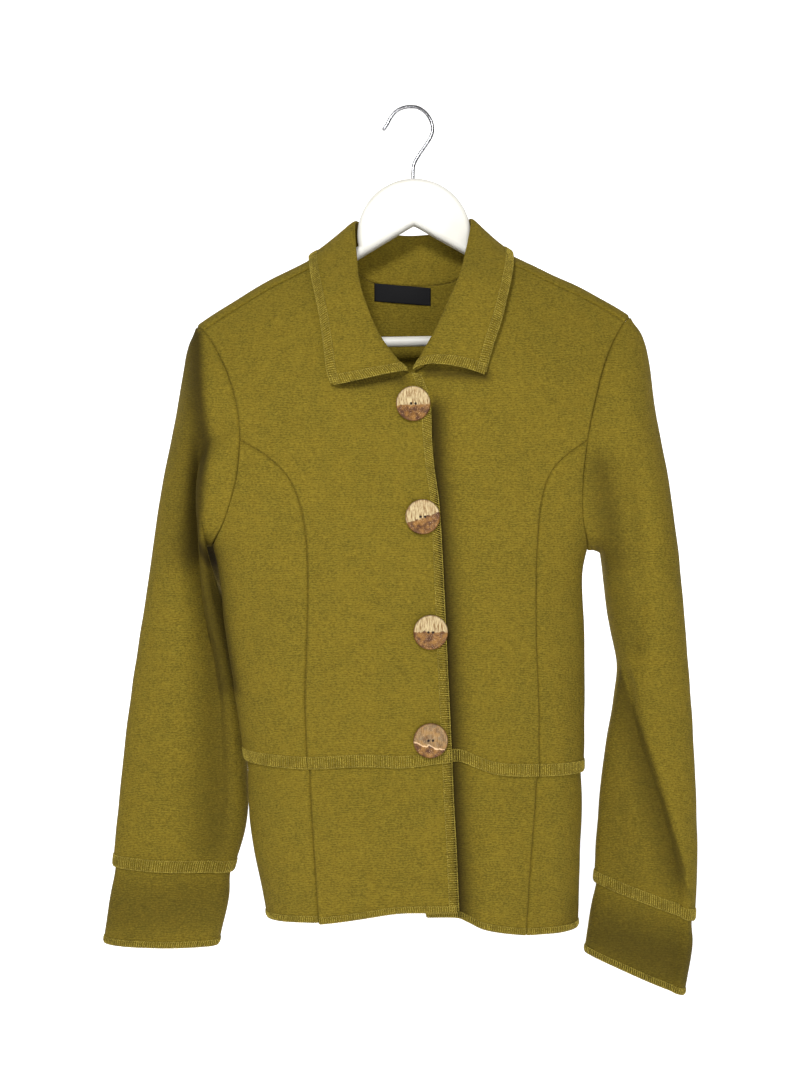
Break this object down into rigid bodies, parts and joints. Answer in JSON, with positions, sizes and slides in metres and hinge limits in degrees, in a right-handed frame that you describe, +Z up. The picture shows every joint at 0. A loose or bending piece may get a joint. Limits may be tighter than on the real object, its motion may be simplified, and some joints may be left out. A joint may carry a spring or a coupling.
{
  "type": "cardigan on a hanger",
  "caption": "Fitted boiled-wool cardigan with a fold-down collar, princess seams and a peplum hem, buttoned up and hanging from a wooden coat hanger with a wire hook.",
  "frame": {"origin": "inside top of the hanger's hook, where it rests on a peg or a rail", "axes": "+Z up, +X towards the wearer's left (the viewer's right from the front), and the fronts face -Y"},
  "size_m": [0.5747, 0.1212, 0.8605],
  "materials": {
    "wool": "olive-green boiled wool, matt, with a short felted nap",
    "button": "glossy, cream and copper-brown halves with a fine grain",
    "label": "black woven satin, plain",
    "white_wood": "white satin paint on wood",
    "wire": "bright chromed steel wire"
  },
  "bodies": {
    "root": {"front_centre_right": "wool", "front_side_right": "wool", "front_centre_left": "wool", "front_side_left": "wool", "back": "wool", "peplum_centre_right": "wool", "peplum_side_right": "wool", "peplum_centre_left": "wool", "peplum_side_left": "wool", "peplum_back": "wool", "sleeve_right": "wool", "sleeve_left": "wool", "cuff_right": "wool", "cuff_left": "wool", "collar": "wool", "neck_label": "label", "button_1": "button", "button_2": "button", "button_3": "button", "button_4": "button", "hanger_wood": "white_wood", "hanger_bar": "white_wood", "hanger_hook": "wire"}
  },
  "joints": []
}
